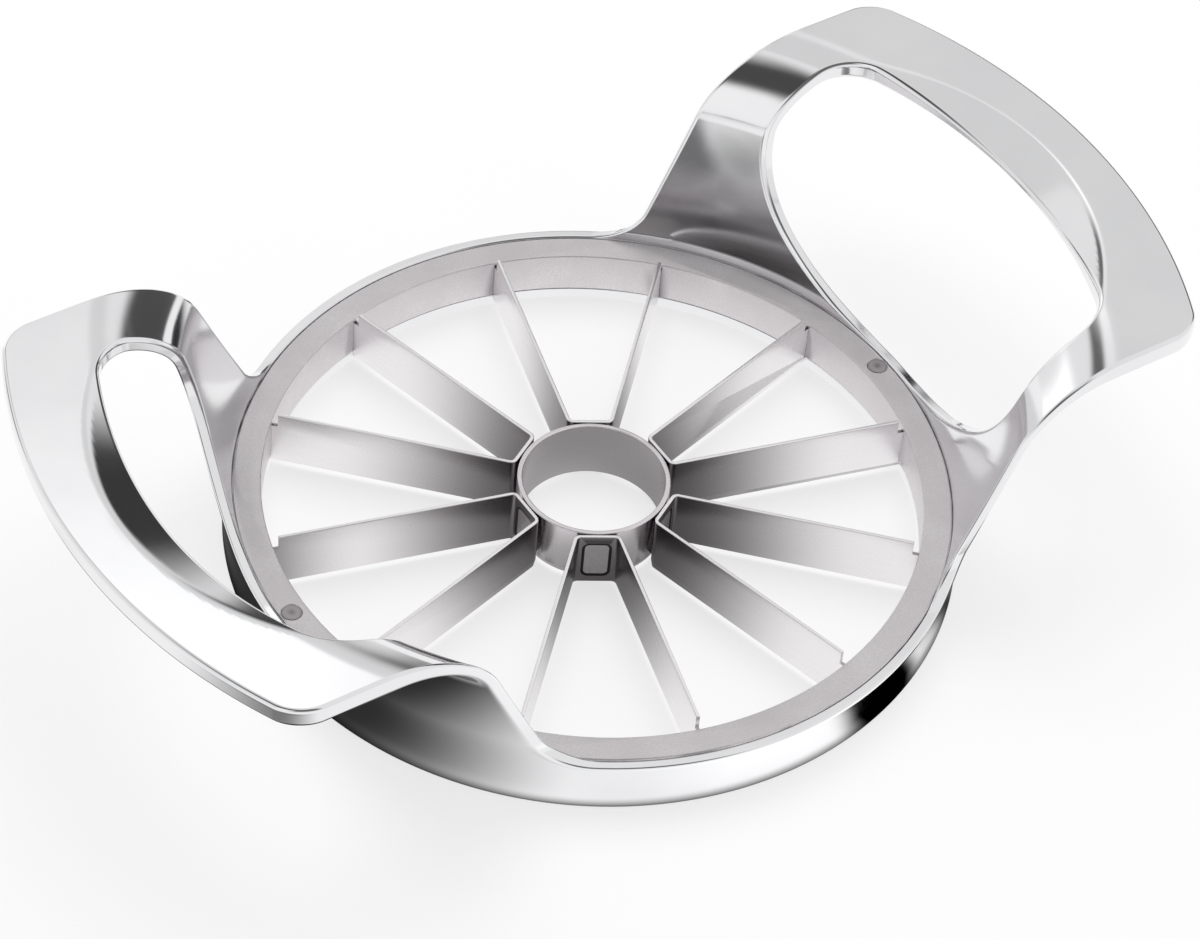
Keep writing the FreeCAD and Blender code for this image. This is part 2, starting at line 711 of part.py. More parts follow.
def strip_path(body, s):
    """Middle line of half a strip: along the tube, round the fold and out as a blade."""
    sketch = add_sketch(body, "strip_path", "XY_Plane")
    turn = math.radians(s.blade_angle.value)
    base, radius = s.base_middle.value, (s.fold_radius + s.blade_thickness / 2)
    # The fold is tangent to the base and to the blade's radial line.
    centre_x = base + radius.value
    centre_y = (centre_x * math.sin(turn) - radius.value) / math.cos(turn)
    path = Outline(sketch, base, 0)
    flat = path.line(base, centre_y)
    fold = path.arc(centre_x, centre_y, 180, 90 + s.blade_angle.value)
    reach = s.tab_radius.value
    blade = path.line(reach * math.cos(turn), reach * math.sin(turn), smooth=True)
    upright(sketch, flat)
    sketch.addConstraint(Sketcher.Constraint("PointOnObject", flat, 1, -1))
    sketch.addConstraint(Sketcher.Constraint("PointOnObject", -1, 1, blade))
    place(sketch, flat, 1, x=s.base_middle)
    hold(sketch, "Radius", radius, fold)
    hold(sketch, "Angle", s.blade_angle, blade)
    hold(sketch, "Distance", s.tab_radius, -1, 1, blade, 2)
    return sketch


def end_step(body, s, name, near, low, high):
    """Cut a blade's end back to a radius between two heights."""
    sketch = add_sketch(body, name + "_outline", "XZ_Plane")
    far = s.seat_radius
    path = Outline(sketch, near.value, low.value)
    floor = path.line(far.value, low.value)
    outside = path.line(far.value, high.value)
    roof = path.line(near.value, high.value)
    inside = path.line(near.value, low.value)
    path.close()
    level(sketch, floor, roof)
    upright(sketch, outside, inside)
    place(sketch, outside, 1, x=far, y=low)
    place(sketch, inside, 1, x=near, y=high)
    return turned(body, "Groove", name, sketch)


def weld_outline(body, s):
    """A rounded rectangle on the strip's base, half way up."""
    sketch = add_sketch(body, "weld_mark_outline", "YZ_Plane", lift=s.base_outer)
    half, corner = s.weld_width.value / 2, s.weld_corner.value
    bottom, top = s.weld_bottom.value, s.weld_bottom.value + s.weld_height.value
    path = Outline(sketch, half - corner, bottom)
    corners = [path.arc(half - corner, bottom + corner, -90, 0)]
    right = path.line(half, top - corner, smooth=True)
    corners.append(path.arc(half - corner, top - corner, 0, 90))
    upper = path.line(corner - half, top, smooth=True)
    corners.append(path.arc(corner - half, top - corner, 90, 180))
    left = path.line(-half, bottom + corner, smooth=True)
    corners.append(path.arc(corner - half, bottom + corner, 180, 270))
    lower = path.line(half - corner, bottom, smooth=True)
    path.close(smooth=True)
    level(sketch, upper, lower)
    upright(sketch, right, left)
    for arc in corners:
        hold(sketch, "Radius", s.weld_corner, arc)
    place(sketch, right, 1, x=s.weld_width / 2)
    hold(sketch, "DistanceX", s.weld_width, left, 1, right, 1)
    place(sketch, lower, 1, y=s.weld_bottom)
    hold(sketch, "DistanceY", s.weld_height, lower, 1, upper, 1)
    return sketch


def weld_section(body, s):
    """The weld between a strip's flat base and the round tube, seen from above."""
    sketch = add_sketch(body, "weld_section", "XY_Plane", lift=s.weld_bottom)
    half, face, tube = s.weld_width.value / 2, s.base_inner.value, s.tube_radius.value
    turn = math.degrees(math.asin(half / tube))
    path = Outline(sketch, math.sqrt(tube ** 2 - half ** 2), -half)
    wall = path.arc(0, 0, -turn, turn)
    upper = path.line(face, half)
    back = path.line(face, -half)
    lower = path.line(math.sqrt(tube ** 2 - half ** 2), -half)
    path.close()
    level(sketch, upper, lower)
    upright(sketch, back)
    sketch.addConstraint(Sketcher.Constraint("Coincident", wall, 3, -1, 1))
    hold(sketch, "Radius", s.tube_radius, wall)
    place(sketch, back, 1, x=s.base_inner, y=s.weld_width / 2)
    hold(sketch, "DistanceY", s.weld_width, lower, 1, upper, 2)
    return sketch


def weld_mark(body, s):
    return pocket(body, "weld_mark", weld_outline(body, s), depth=s.weld_mark)


def add_blade_strip(doc, s, number):
    """A strip folded into two blades, with its spot weld and its end tabs."""
    body = add_body(doc, "blade_strip_%d" % (number + 1))
    blade = body.newObject("PartDesign::AdditivePipe", "half_strip")
    blade.Profile = strip_section(body, s)
    blade.Spine = (strip_path(body, s), [])
    doc.recompute()
    body.Tip = mirrored(body, "whole_strip", [blade], "XZ_Plane")
    doc.recompute()
    cut(body, end_step, s, "upper_end", s.blade_end, s.tab_top, s.blade_top + s.overrun)
    cut(body, end_step, s, "lower_end", s.hole_radius - s.tab_clearance,
        s.blade_bottom - s.overrun, s.shoulder_height)
    cut(body, weld_mark, s)
    weld = add_feature(body, "Pad", "weld", weld_section(body, s))
    weld.setExpression("Length", s.weld_height.text)
    body.Tip = weld
    body.Placement = FreeCAD.Placement(
        FreeCAD.Vector(), FreeCAD.Rotation(FreeCAD.Vector(0, 0, 1), number * s.strip_step.value))
    body.setExpression("Placement.Rotation.Angle", "%d * %s * 1 deg" % (number, s.strip_step.text))
    return body


def main():
    doc = FreeCAD.newDocument("CorerSlicer")
    s = add_sheet(doc)
    bodies = [add_frame_casting(doc, s), add_blade_ring(doc, s), add_ring_rivets(doc, s),
              add_core_tube(doc, s)]
    bodies += [add_blade_strip(doc, s, number) for number in range(s.strip_count.value)]
    doc.recompute()
    for item in doc.Objects:
        if "Invalid" in item.State or "Error" in item.State:
            raise RuntimeError("%s did not compute" % item.Label)
    os.makedirs("parts", exist_ok=True)
    for body in bodies:
        if body.Shape.isNull() or not body.Shape.isValid():
            raise RuntimeError("%s has no valid shape" % body.Label)
        body.Shape.exportStep("parts/%s.step" % body.Label)


main()
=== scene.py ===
import math

import bmesh
import bpy
import numpy as np
from mathutils import Matrix, Vector


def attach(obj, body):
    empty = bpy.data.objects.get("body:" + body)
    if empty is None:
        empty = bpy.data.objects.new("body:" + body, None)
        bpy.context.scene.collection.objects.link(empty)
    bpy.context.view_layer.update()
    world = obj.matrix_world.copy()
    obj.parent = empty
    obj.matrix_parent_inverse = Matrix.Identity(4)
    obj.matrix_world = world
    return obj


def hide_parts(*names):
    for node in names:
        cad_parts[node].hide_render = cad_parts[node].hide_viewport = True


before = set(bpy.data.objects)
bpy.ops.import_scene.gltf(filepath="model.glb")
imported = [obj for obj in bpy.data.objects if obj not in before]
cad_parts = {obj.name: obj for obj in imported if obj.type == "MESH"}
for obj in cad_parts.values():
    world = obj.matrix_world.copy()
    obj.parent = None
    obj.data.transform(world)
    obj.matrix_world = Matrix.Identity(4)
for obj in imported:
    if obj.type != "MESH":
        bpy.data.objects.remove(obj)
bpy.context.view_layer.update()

# A polished corer and slicer: one cast ring with two bell-shaped handles, a satin blade
# ring, six folded blade strips, a core tube and two flush rivets.  Named sizes are in
# millimetres and angles in degrees; Blender's own lengths are metres.

MM = 0.001

# ------------------------------------------------------------------ sizes of the casting

RING_RADIUS = 57.2
RING_WALL = 1.4
RING_STRAIGHT = 4.0
RIM_HEIGHT = 9.3
RIM_STRAIGHT = 9.5
SHOULDER_HEIGHT = 2.2
LEDGE_WIDTH = 4.5
FLARE_ANGLE = 18.0
FLARE_RADIUS = 34.0
RIM_ROLL = 5.0
BEND_OUTER = 12.0
BEND_INNER = 16.0
PLATE_HEIGHT = 42.7
PLATE_THICKNESS = 3.4
HANDLE_RADIUS = 90.0
HANDLE_HALF = 43.5
HANDLE_CORNER = 7.5
LEG_CORNER = 5.0
OPENING_RADIUS = 76.0
OPENING_HALF = 34.0
OPENING_CORNER = 9.0
WINDOW_FOOT_WIDE = 32.5    # the window's foot is an oval: its half width and half height
WINDOW_FOOT_HIGH = 26.0
BEVEL_WIDTH = 6.2
BEVEL_DEPTH = 2.4
BEVEL_SWEEP = 48.0
BEVEL_BLEND = 0.9          # half of the soft strip where the finger bevel leaves the plate

SEAT_RADIUS = RING_RADIUS - RING_WALL
LEG_TOP = 31.3             # height up to which a leg is all but straight
BEND_END = 70.5            # radius from which the plate's two faces pair straight down

# The steel pieces: heights and places that the CAD solids have.
BLADE_TOP = 10.8
BASE_OUTER = 12.6          # a strip's flat base, from the axis to its outer face
WELD_MARK = 0.12           # depth of a weld's mark
STRIP_COUNT = 6
LEDGE_TOP = 9.2            # top of the blade ring and of the rivets' heads
RIVET_RADIUS = 53.9

# Rounded edges of the steel pieces: how wide, and in how many segments.
RING_EDGE = (0.2, 4)
TUBE_EDGE = (0.18, 4)
RIVET_EDGE = (0.3, 4)
BLADE_EDGE = (0.15, 3)
WELD_OUTLINE = 0.45        # width of the dark outline of a weld's mark

# The casting is modelled as a flat plate first: across it runs v, up it runs u, and w
# is its thickness.  The plate is then formed round the bell.
FLAT_THICKNESS = 2.6
EDGE_ROUND = 0.7
EDGE_SEGMENTS = 5
FOOT_SEGMENTS = 28         # in the round of the window's foot
CORNER_SEGMENTS = 16       # in each of the smaller corners
BEND_LENGTH = 12.0         # flat length of the bend between leg and plate
CURVE_STEP = 0.005         # spacing of the section's points
BEVEL_CLEAR = 83.0         # radius from which the plate is flat again, past the finger bevel

# What counts as one face, as one point and as a sharp edge.
SAME_FACE = 0.2            # faces that turn less than this are joined into one
SAME_POINT = 1e-6          # metres
SMOOTH_ANGLE = 28.0        # the steel's edges flatter than this are shaded smooth
CASTING_SHARP = 0.5        # an edge is sharp where its faces' normals agree less than this
STEEL_SHARP = 0.8

# ------------------------------------------------------------------ small helpers


def deselect():
    if bpy.context.object and bpy.context.object.mode != "OBJECT":
        bpy.ops.object.mode_set(mode="OBJECT")
    bpy.ops.object.select_all(action="DESELECT")


def make_active(obj):
    deselect()
    obj.select_set(True)
    bpy.context.view_layer.objects.active = obj


def pick(obj, kind, test):
    """Select the vertices, edges or faces of a mesh in edit mode that pass the test."""
    mesh = bmesh.from_edit_mesh(obj.data)
    bpy.ops.mesh.select_mode(type=kind)
    bpy.ops.mesh.select_all(action="DESELECT")
    parts = {"VERT": mesh.verts, "EDGE": mesh.edges, "FACE": mesh.faces}[kind]
    for part in parts:
        if test(part):
            part.select_set(True)
    mesh.select_flush_mode()
    bmesh.update_edit_mesh(obj.data)


def near(a, b, slack=1e-4):
    """Whether two lengths agree; the usual slack suits the flat plate's millimetres."""
    return abs(a - b) < slack


# ------------------------------------------------------------------ the casting's section


def bell_side(radius, straight, curve, bend, top):
    """One side of the bell as closely spaced points, from the foot to the plate's end."""
    lean = math.radians(FLARE_ANGLE)
    foot_r = radius + curve * (1 - math.cos(lean))
    foot_z = straight + curve * math.sin(lean)
    head_z = top - bend + bend * math.sin(lean)
    head_r = foot_r + (head_z - foot_z) * math.tan(lean)
    bend_r = head_r + bend * math.cos(lean)

    def line(r0, z0, r1, z1):
        count = int(math.hypot(r1 - r0, z1 - z0) / CURVE_STEP)
        share = np.linspace(0, 1, count, endpoint=False)
        return r0 + (r1 - r0) * share, z0 + (z1 - z0) * share

    def arc(centre_r, centre_z, reach, start, stop):
        count = int(reach * abs(stop - start) / CURVE_STEP)
        turn = np.linspace(start, stop, count, endpoint=False)
        return centre_r + reach * np.cos(turn), centre_z + reach * np.sin(turn)

    pieces = [
        line(radius, 0, radius, straight),
        arc(radius + curve, straight, curve, math.pi, math.pi - lean),
        line(foot_r, foot_z, head_r, head_z),
        arc(bend_r, top - bend, bend, math.pi - lean, math.pi / 2),
        line(bend_r, top, HANDLE_RADIUS + PLATE_THICKNESS, top),
    ]
    r = np.concatenate([piece[0] for piece in pieces])
    z = np.concatenate([piece[1] for piece in pieces])
    run = np.concatenate([[0], np.cumsum(np.hypot(np.diff(r), np.diff(z)))])
    return r, z, run


OUTER_SIDE = bell_side(RING_RADIUS, RING_STRAIGHT, FLARE_RADIUS, BEND_OUTER,
                       PLATE_HEIGHT - PLATE_THICKNESS)
INNER_SIDE = bell_side(SEAT_RADIUS, RIM_STRAIGHT, RIM_ROLL, BEND_INNER, PLATE_HEIGHT)


def side_at(side, u):
    """Radius and height of one side at a flat height u: by height up the leg, then by
    length round the bend, then by radius out along the plate."""
    r, z, run = side
    bend_start = np.interp(LEG_TOP, z, run)
    bend_stop = np.interp(BEND_END, r, run)
    by_height = np.interp(u, z, run)
    by_length = bend_start + (bend_stop - bend_start) * (u - LEG_TOP) / BEND_LENGTH
    by_radius = np.interp(u - LEG_TOP - BEND_LENGTH + BEND_END, r, run)
    place = np.where(u < LEG_TOP, by_height,
                     np.where(u < LEG_TOP + BEND_LENGTH, by_length, by_radius))
    return np.interp(place, run, r), np.interp(place, run, z)


def flat_height(radius):
    """The flat height u of a radius on the plate."""
    return LEG_TOP + BEND_LENGTH + radius - BEND_END


# Past a handle's side the flat plate runs on to a quarter of the way round.
SIDE_TURN = math.asin(HANDLE_HALF / RING_RADIUS)
QUARTER_END = HANDLE_HALF + (math.pi / 2 - SIDE_TURN) * RING_RADIUS * math.cos(SIDE_TURN)


def turn_at(radius, v):
    """The angle round the ring of a flat place v, which is a straight distance across
    a handle and an even share of the angle past it."""
    across = np.arcsin(np.clip(v / radius, 0, 1))
    side = np.arcsin(HANDLE_HALF / radius)
    beside = side + (math.pi / 2 - side) * (v - HANDLE_HALF) / (QUARTER_END - HANDLE_HALF)
    return np.where(v <= HANDLE_HALF, across, beside)


def finger_drop(radius, height, turn):
    """How far the finger bevel lowers the top: a shallow cone whose edge is a circle
    through the bevel's two tips and its widest point, and which meets the top softly."""
    edge = OPENING_RADIUS + BEVEL_WIDTH
    tip = OPENING_RADIUS * math.cos(math.radians(BEVEL_SWEEP / 2))
    centre = (edge ** 2 - OPENING_RADIUS ** 2) / (2 * (edge - tip))
    inside = edge - centre - np.hypot(radius * np.cos(turn) - centre, radius * np.sin(turn))
    slope = BEVEL_DEPTH / BEVEL_WIDTH
    above = height - PLATE_HEIGHT + np.minimum(inside * slope, BEVEL_DEPTH)
    blend = BEVEL_BLEND * slope
    soft = np.clip(above + blend, 0, 2 * blend) ** 2 / (4 * blend)
    return np.where(above > blend, above, soft)


def form(flat):
    """Take flat places (v, u, w) to their places on a quarter of the bell."""
    v, u, w = flat[:, 0], flat[:, 1], flat[:, 2] / FLAT_THICKNESS
    outer_r, outer_z = side_at(OUTER_SIDE, u)
    inner_r, inner_z = side_at(INNER_SIDE, u)
    drop = finger_drop(inner_r, inner_z, turn_at(inner_r, v))
    radius = outer_r + (inner_r - outer_r) * w
    height = outer_z + (inner_z - drop - outer_z) * w
    turn = turn_at(radius, v)
    return np.stack([radius * np.cos(turn), radius * np.sin(turn), height], axis=1)


def formed_normals(flat, normals):
    """Turn the flat plate's normals with the forming, so that reflections run clean."""
    step = 0.02
    columns = []
    for axis in range(3):
        shift = np.zeros(3)
        shift[axis] = step
        columns.append((form(flat + shift) - form(flat - shift)) / (2 * step))
    across, up, through = columns
    volume = np.einsum("ij,ij->i", np.cross(across, up), through)[:, None]
    turned = (normals[:, :1] * np.cross(up, through) + normals[:, 1:2] * np.cross(through, across)
              + normals[:, 2:] * np.cross(across, up)) / volume
    return turned / np.linalg.norm(turned, axis=1, keepdims=True)


# ------------------------------------------------------------------ the flat quarter


def draw_flat_quarter():
    """A quarter of the casting as a flat plate: a stretch of ring, a leg beside the hand
    opening and half of the grip."""
    deselect()
    bpy.ops.mesh.primitive_plane_add(size=1, location=(0.5, 0.5, 0))
    plate = bpy.context.object
    plate.name = "frame_casting_polished"
    corners = ((0, 0), (QUARTER_END, 0), (0, RIM_HEIGHT), (QUARTER_END, RIM_HEIGHT))
    for vertex, (v, u) in zip(plate.data.vertices, corners):
        vertex.co = (v, u, 0)
    plate.location = (0, 0, 0)
    make_active(plate)
    bpy.ops.object.mode_set(mode="EDIT")
    for v in (OPENING_HALF, HANDLE_HALF):
        bpy.ops.mesh.select_all(action="SELECT")
        bpy.ops.mesh.bisect(plane_co=(v, 0, 0), plane_no=(1, 0, 0))

    # The leg rises from the rim, and the grip runs from its top to the middle.
    def is_leg_foot(edge):
        return all(near(p.co.y, RIM_HEIGHT) and OPENING_HALF - 1 < p.co.x < HANDLE_HALF + 1
                   for p in edge.verts)

    pick(plate, "EDGE", is_leg_foot)
    for rise in (flat_height(OPENING_RADIUS) - RIM_HEIGHT, HANDLE_RADIUS - OPENING_RADIUS):
        bpy.ops.mesh.extrude_region_move(TRANSFORM_OT_translate={"value": (0, rise, 0)})

    def is_grip_end(edge):
        return all(near(p.co.x, OPENING_HALF) and p.co.y > flat_height(OPENING_RADIUS) - 1
                   for p in edge.verts)

    pick(plate, "EDGE", is_grip_end)
    bpy.ops.mesh.extrude_region_move(TRANSFORM_OT_translate={"value": (-OPENING_HALF, 0, 0)})
    bpy.ops.mesh.select_all(action="SELECT")
    bpy.ops.mesh.dissolve_limited(angle_limit=math.radians(SAME_FACE))
    bpy.ops.mesh.select_all(action="SELECT")
    bpy.ops.mesh.extrude_region_move(TRANSFORM_OT_translate={"value": (0, 0, FLAT_THICKNESS)})
    bpy.ops.mesh.select_all(action="SELECT")
    bpy.ops.mesh.normals_make_consistent(inside=False)
    return plate


def corner_reach(radius, across, rim):
    """How far a corner of that radius reaches along the flat plate, where a straight
    side meets an arc of radius rim at a distance across from the middle."""
    lean = math.asin(across / rim)
    return radius * math.tan((math.pi / 2 - lean) / 2) * math.cos(lean)


def round_corners(plate):
    """Round the four corners of the flat plate's outline, seen square on."""
    corners = (             # place across, place up, reach and segments
        (OPENING_HALF, RIM_HEIGHT, WINDOW_FOOT_HIGH, FOOT_SEGMENTS),
        (OPENING_HALF, flat_height(OPENING_RADIUS),
         corner_reach(OPENING_CORNER, OPENING_HALF, OPENING_RADIUS), CORNER_SEGMENTS),
        (HANDLE_HALF, flat_height(HANDLE_RADIUS),
         corner_reach(HANDLE_CORNER, HANDLE_HALF, HANDLE_RADIUS), CORNER_SEGMENTS),
        (HANDLE_HALF, RIM_HEIGHT, LEG_CORNER, CORNER_SEGMENTS),
    )
    for v, u, reach, segments in corners:
        pick(plate, "EDGE",
             lambda edge: all(near(p.co.x, v) and near(p.co.y, u) for p in edge.verts))
        bpy.ops.mesh.bevel(offset=reach, segments=segments, affect="EDGES", clamp_overlap=False)

    def is_window_foot(vertex):
        across = OPENING_HALF - vertex.co.x
        up = vertex.co.y - RIM_HEIGHT
        return 0 < across < WINDOW_FOOT_HIGH + 0.01 and -0.01 < up < WINDOW_FOOT_HIGH

    # The window's foot is drawn out sideways into a quarter of an oval.
    pick(plate, "VERT", is_window_foot)
    bpy.ops.transform.resize(value=(WINDOW_FOOT_WIDE / WINDOW_FOOT_HIGH, 1, 1),
                             center_override=(OPENING_HALF, 0, 0))


def open_ends(plate):
    """Take away the end faces, where the quarters join, and run the floor inwards."""
    def is_end(face):
        return any(all(near(p.co.x, end) for p in face.verts) for end in (0, QUARTER_END))

    def is_floor_edge(face):
        return all(near(p.co.z, FLAT_THICKNESS) and p.co.y < SHOULDER_HEIGHT + 0.01
                   for p in face.verts)

    pick(plate, "FACE", is_end)
    bpy.ops.mesh.delete(type="FACE")
    bpy.ops.mesh.select_all(action="SELECT")
    bpy.ops.mesh.bisect(plane_co=(0, SHOULDER_HEIGHT, 0), plane_no=(0, 1, 0))
    pick(plate, "FACE", is_floor_edge)
    floor_run = LEDGE_WIDTH / RING_WALL * FLAT_THICKNESS
    bpy.ops.mesh.extrude_region_move(TRANSFORM_OT_translate={"value": (0, 0, floor_run)})
    pick(plate, "FACE", is_end)
    bpy.ops.mesh.delete(type="FACE")


def round_edges(plate):
    """Round every outside edge of the plate."""
    def is_outside_edge(edge):
        if len(edge.link_faces) != 2 or not edge.is_convex:
            return False
        first, second = (face.normal for face in edge.link_faces)
        return first.dot(second) < CASTING_SHARP

    pick(plate, "EDGE", is_outside_edge)
    bpy.ops.mesh.bevel(offset=EDGE_ROUND, segments=EDGE_SEGMENTS, affect="EDGES",
                       clamp_overlap=False)


def rule_grid():
    """Rule fine lines over the plate in edit mode, closer where the bell curves more."""
    heights = (             # from, to and spacing
        (1.0, RING_STRAIGHT, 1.0),
        (RING_STRAIGHT, 12.0, 0.4),
        (12.0, 30.0, 1.5),
        (30.0, flat_height(BEVEL_CLEAR), 0.5),
        (flat_height(BEVEL_CLEAR), flat_height(HANDLE_RADIUS), 1.0),
    )
    places = (
        (0.8, HANDLE_HALF + 6, 0.8),
        (HANDLE_HALF + 6, QUARTER_END, 1.2),
    )
    for ruled, normal in ((heights, Vector((0, 1, 0))), (places, Vector((1, 0, 0)))):
        for start, stop, spacing in ruled:
            for place in np.arange(start, stop, spacing):
                bpy.ops.mesh.select_all(action="SELECT")
                bpy.ops.mesh.bisect(plane_co=normal * place, plane_no=normal, threshold=1e-5)


def keep_flat_normals(plate):
    """Keep the flat plate's normals as an attribute that the ruled lines then share out:
    true to the flat faces and walls, and turning evenly over the rounded edges."""
    bpy.ops.object.mode_set(mode="OBJECT")
    mesh = plate.data
    count = len(mesh.vertices)
    normals = np.zeros(count * 3)
    mesh.vertices.foreach_get("normal", normals)
    normals = normals.reshape(-1, 3)
    fixed = np.zeros(count, bool)
    on_wall = np.zeros(count, bool)
    for face in mesh.polygons:
        axis = max(range(3), key=lambda i: abs(face.normal[i]))
        if abs(face.normal[axis]) > 0.99999:
            for index in face.vertices:
                normals[index] = face.normal
                fixed[index] = True
        elif abs(face.normal.z) < 1e-4:
            for index in face.vertices:
                on_wall[index] = True
    round_wall = on_wall & ~fixed
    normals[round_wall, 2] = 0
    normals /= np.linalg.norm(normals, axis=1, keepdims=True)
    made = mesh.attributes.new("made_normal", "FLOAT_VECTOR", "POINT")
    made.data.foreach_set("vector", normals.ravel())
    bpy.ops.object.mode_set(mode="EDIT")


def quarter_mesh(plate, side_x, side_y):
    """The flat plate formed into one quarter of the bell, turned or mirrored in place."""
    count = len(plate.data.vertices)
    flat = np.zeros(count * 3)
    plate.data.vertices.foreach_get("co", flat)
    flat = flat.reshape(-1, 3)
    flip = np.array([side_x, side_y, 1])
    places = form(flat) * flip * MM
    kept = np.zeros(count * 3)
    plate.data.attributes["made_normal"].data.foreach_get("vector", kept)
    kept = kept.reshape(-1, 3)
    normals = formed_normals(flat, kept / np.linalg.norm(kept, axis=1, keepdims=True)) * flip
    quarter = plate.copy()
    quarter.data = plate.data.copy()
    bpy.context.collection.objects.link(quarter)
    quarter.data.vertices.foreach_set("co", places.ravel())
    quarter.data.attributes["made_normal"].data.foreach_set("vector", normals.ravel())
    if side_x * side_y > 0:
        quarter.data.flip_normals()
    quarter.data.update()
    return quarter


def make_casting():
    """The whole casting: four formed quarters, joined into one mesh."""
    plate = draw_flat_quarter()
    round_corners(plate)
    open_ends(plate)
    round_edges(plate)
    keep_flat_normals(plate)
    rule_grid()
    bpy.ops.object.mode_set(mode="OBJECT")
    quarters = [quarter_mesh(plate, side_x, side_y) for side_x in (1, -1) for side_y in (1, -1)]
    bpy.data.objects.remove(plate)
    make_active(quarters[0])
    for quarter in quarters[1:]:
        quarter.select_set(True)
    bpy.ops.object.join()
    casting = bpy.context.object
    casting.name = "frame_casting_polished"
    bpy.ops.object.mode_set(mode="EDIT")
    bpy.ops.mesh.select_all(action="SELECT")
    bpy.ops.mesh.remove_doubles(threshold=SAME_POINT)
    bpy.ops.object.mode_set(mode="OBJECT")
    bpy.ops.object.shade_smooth()
    made = np.zeros(len(casting.data.vertices) * 3)
    casting.data.attributes["made_normal"].data.foreach_get("vector", made)
    made = made.reshape(-1, 3)
    made /= np.linalg.norm(made, axis=1, keepdims=True)
    casting.data.normals_split_custom_set_from_vertices(made.tolist())
    casting.data.attributes.remove(casting.data.attributes["made_normal"])
    return casting


# ------------------------------------------------------------------ materials

# Sizes of the patterns, in millimetres.
BUFFING_SIZE = 14.0        # patches that the buffing wheel leaves
BUFFING_WAVE = 0.012       # and their depth
POLISH_GRAIN = 0.35        # real scratches are finer: drawn as coarse as they need to show
BEAD_MARK = 0.28           # real ones are about 0.1 mm: drawn as coarse as they need to show
BEAD_DEPTH = 0.005
BLAST_CLOUD = 9.0          # paler and darker patches left by the blasting
LINE_WIDTH = 0.25          # real ones are about 0.05 mm: drawn as coarse as they need to show
LINE_DEPTH = 0.002
SHADE_FULL_REACH = 12.0          # painted shade: a blade is darkest up to this distance from the axis
SHADE_END_REACH = 42.0          # and the painted shade is gone from this one
TOP_HIGHLIGHT_START = 0.12      # a painted highlight on a blade's top edge starts at this depth
TOP_HIGHLIGHT_FULL = 0.02       # and is full from this one
TURNED_RING = 1.885        # real ones are closer: drawn as coarse as they need to show
WELD_MOTTLE = 0.8          # heat marks on a spot weld

LINE_STRETCH = 0.02        # the share of the distance to the axis that the lines follow
WAVE_RATE = 20.0           # radians that a wave pattern turns in one unit of length

# A Mix node's sockets go by number, because their names repeat.
SHARE = 0
FIRST_NUMBER = 2
SECOND_NUMBER = 3
FIRST_TINT = 6
SECOND_TINT = 7
MIXED_TINT = 2             # the output that gives the mixed colour


def tint(code):
    """A linear colour from an sRGB hex value."""
    parts = [int(code[i:i + 2], 16) / 255 for i in (1, 3, 5)]
    linear = [p / 12.92 if p <= 0.04045 else ((p + 0.055) / 1.055) ** 2.4 for p in parts]
    return (*linear, 1.0)


def add_node(tree, kind, links=None, values=None, **settings):
    """A shader node with its settings.  Links and values name the sockets they go to."""
    node = tree.nodes.new(kind)
    for name, value in settings.items():
        setattr(node, name, value)
    for socket, value in (values or {}).items():
        node.inputs[socket].default_value = value
    for socket, source in (links or {}).items():
        tree.links.new(source, node.inputs[socket])
    return node


def new_material(name):
    """A metal whose colour, roughness and relief are still to be laid."""
    material = bpy.data.materials.new(name)
    material.use_nodes = True
    shader = material.node_tree.nodes["Principled BSDF"]
    shader.inputs["Metallic"].default_value = 1.0
    return material, material.node_tree, shader


def lay_finish(tree, shader, colour, roughness, relief, depth):
    """Give the shader its colour, its roughness and a relief that many millimetres deep."""
    bump = add_node(tree, "ShaderNodeBump", {"Height": relief},
                    {"Distance": depth * MM, "Strength": 1.0})
    tree.links.new(colour, shader.inputs["Base Color"])
    tree.links.new(roughness, shader.inputs["Roughness"])
    tree.links.new(bump.outputs[0], shader.inputs["Normal"])


def lay_lines(tree, detail):
    """Fine lines drawn out along each blade and level round the tube, from the distance to
    the axis, pressed together, and the height.  That distance and height come with them."""
    where = add_node(tree, "ShaderNodeTexCoord").outputs["Object"]
    parts = add_node(tree, "ShaderNodeSeparateXYZ", {0: where}).outputs
    flat = add_node(tree, "ShaderNodeCombineXYZ", {0: parts["X"], 1: parts["Y"]})
    reach = add_node(tree, "ShaderNodeVectorMath", {0: flat.outputs[0]}, operation="LENGTH")
    pressed = add_node(tree, "ShaderNodeMath", {0: reach.outputs["Value"]}, {1: LINE_STRETCH},
                       operation="MULTIPLY")
    place = add_node(tree, "ShaderNodeCombineXYZ", {0: pressed.outputs[0], 2: parts["Z"]})
    lines = add_node(tree, "ShaderNodeTexNoise", {"Vector": place.outputs[0]},
                     {"Scale": 1 / (LINE_WIDTH * MM), "Detail": detail})
    return lines.outputs["Fac"], reach.outputs["Value"], parts["Z"]


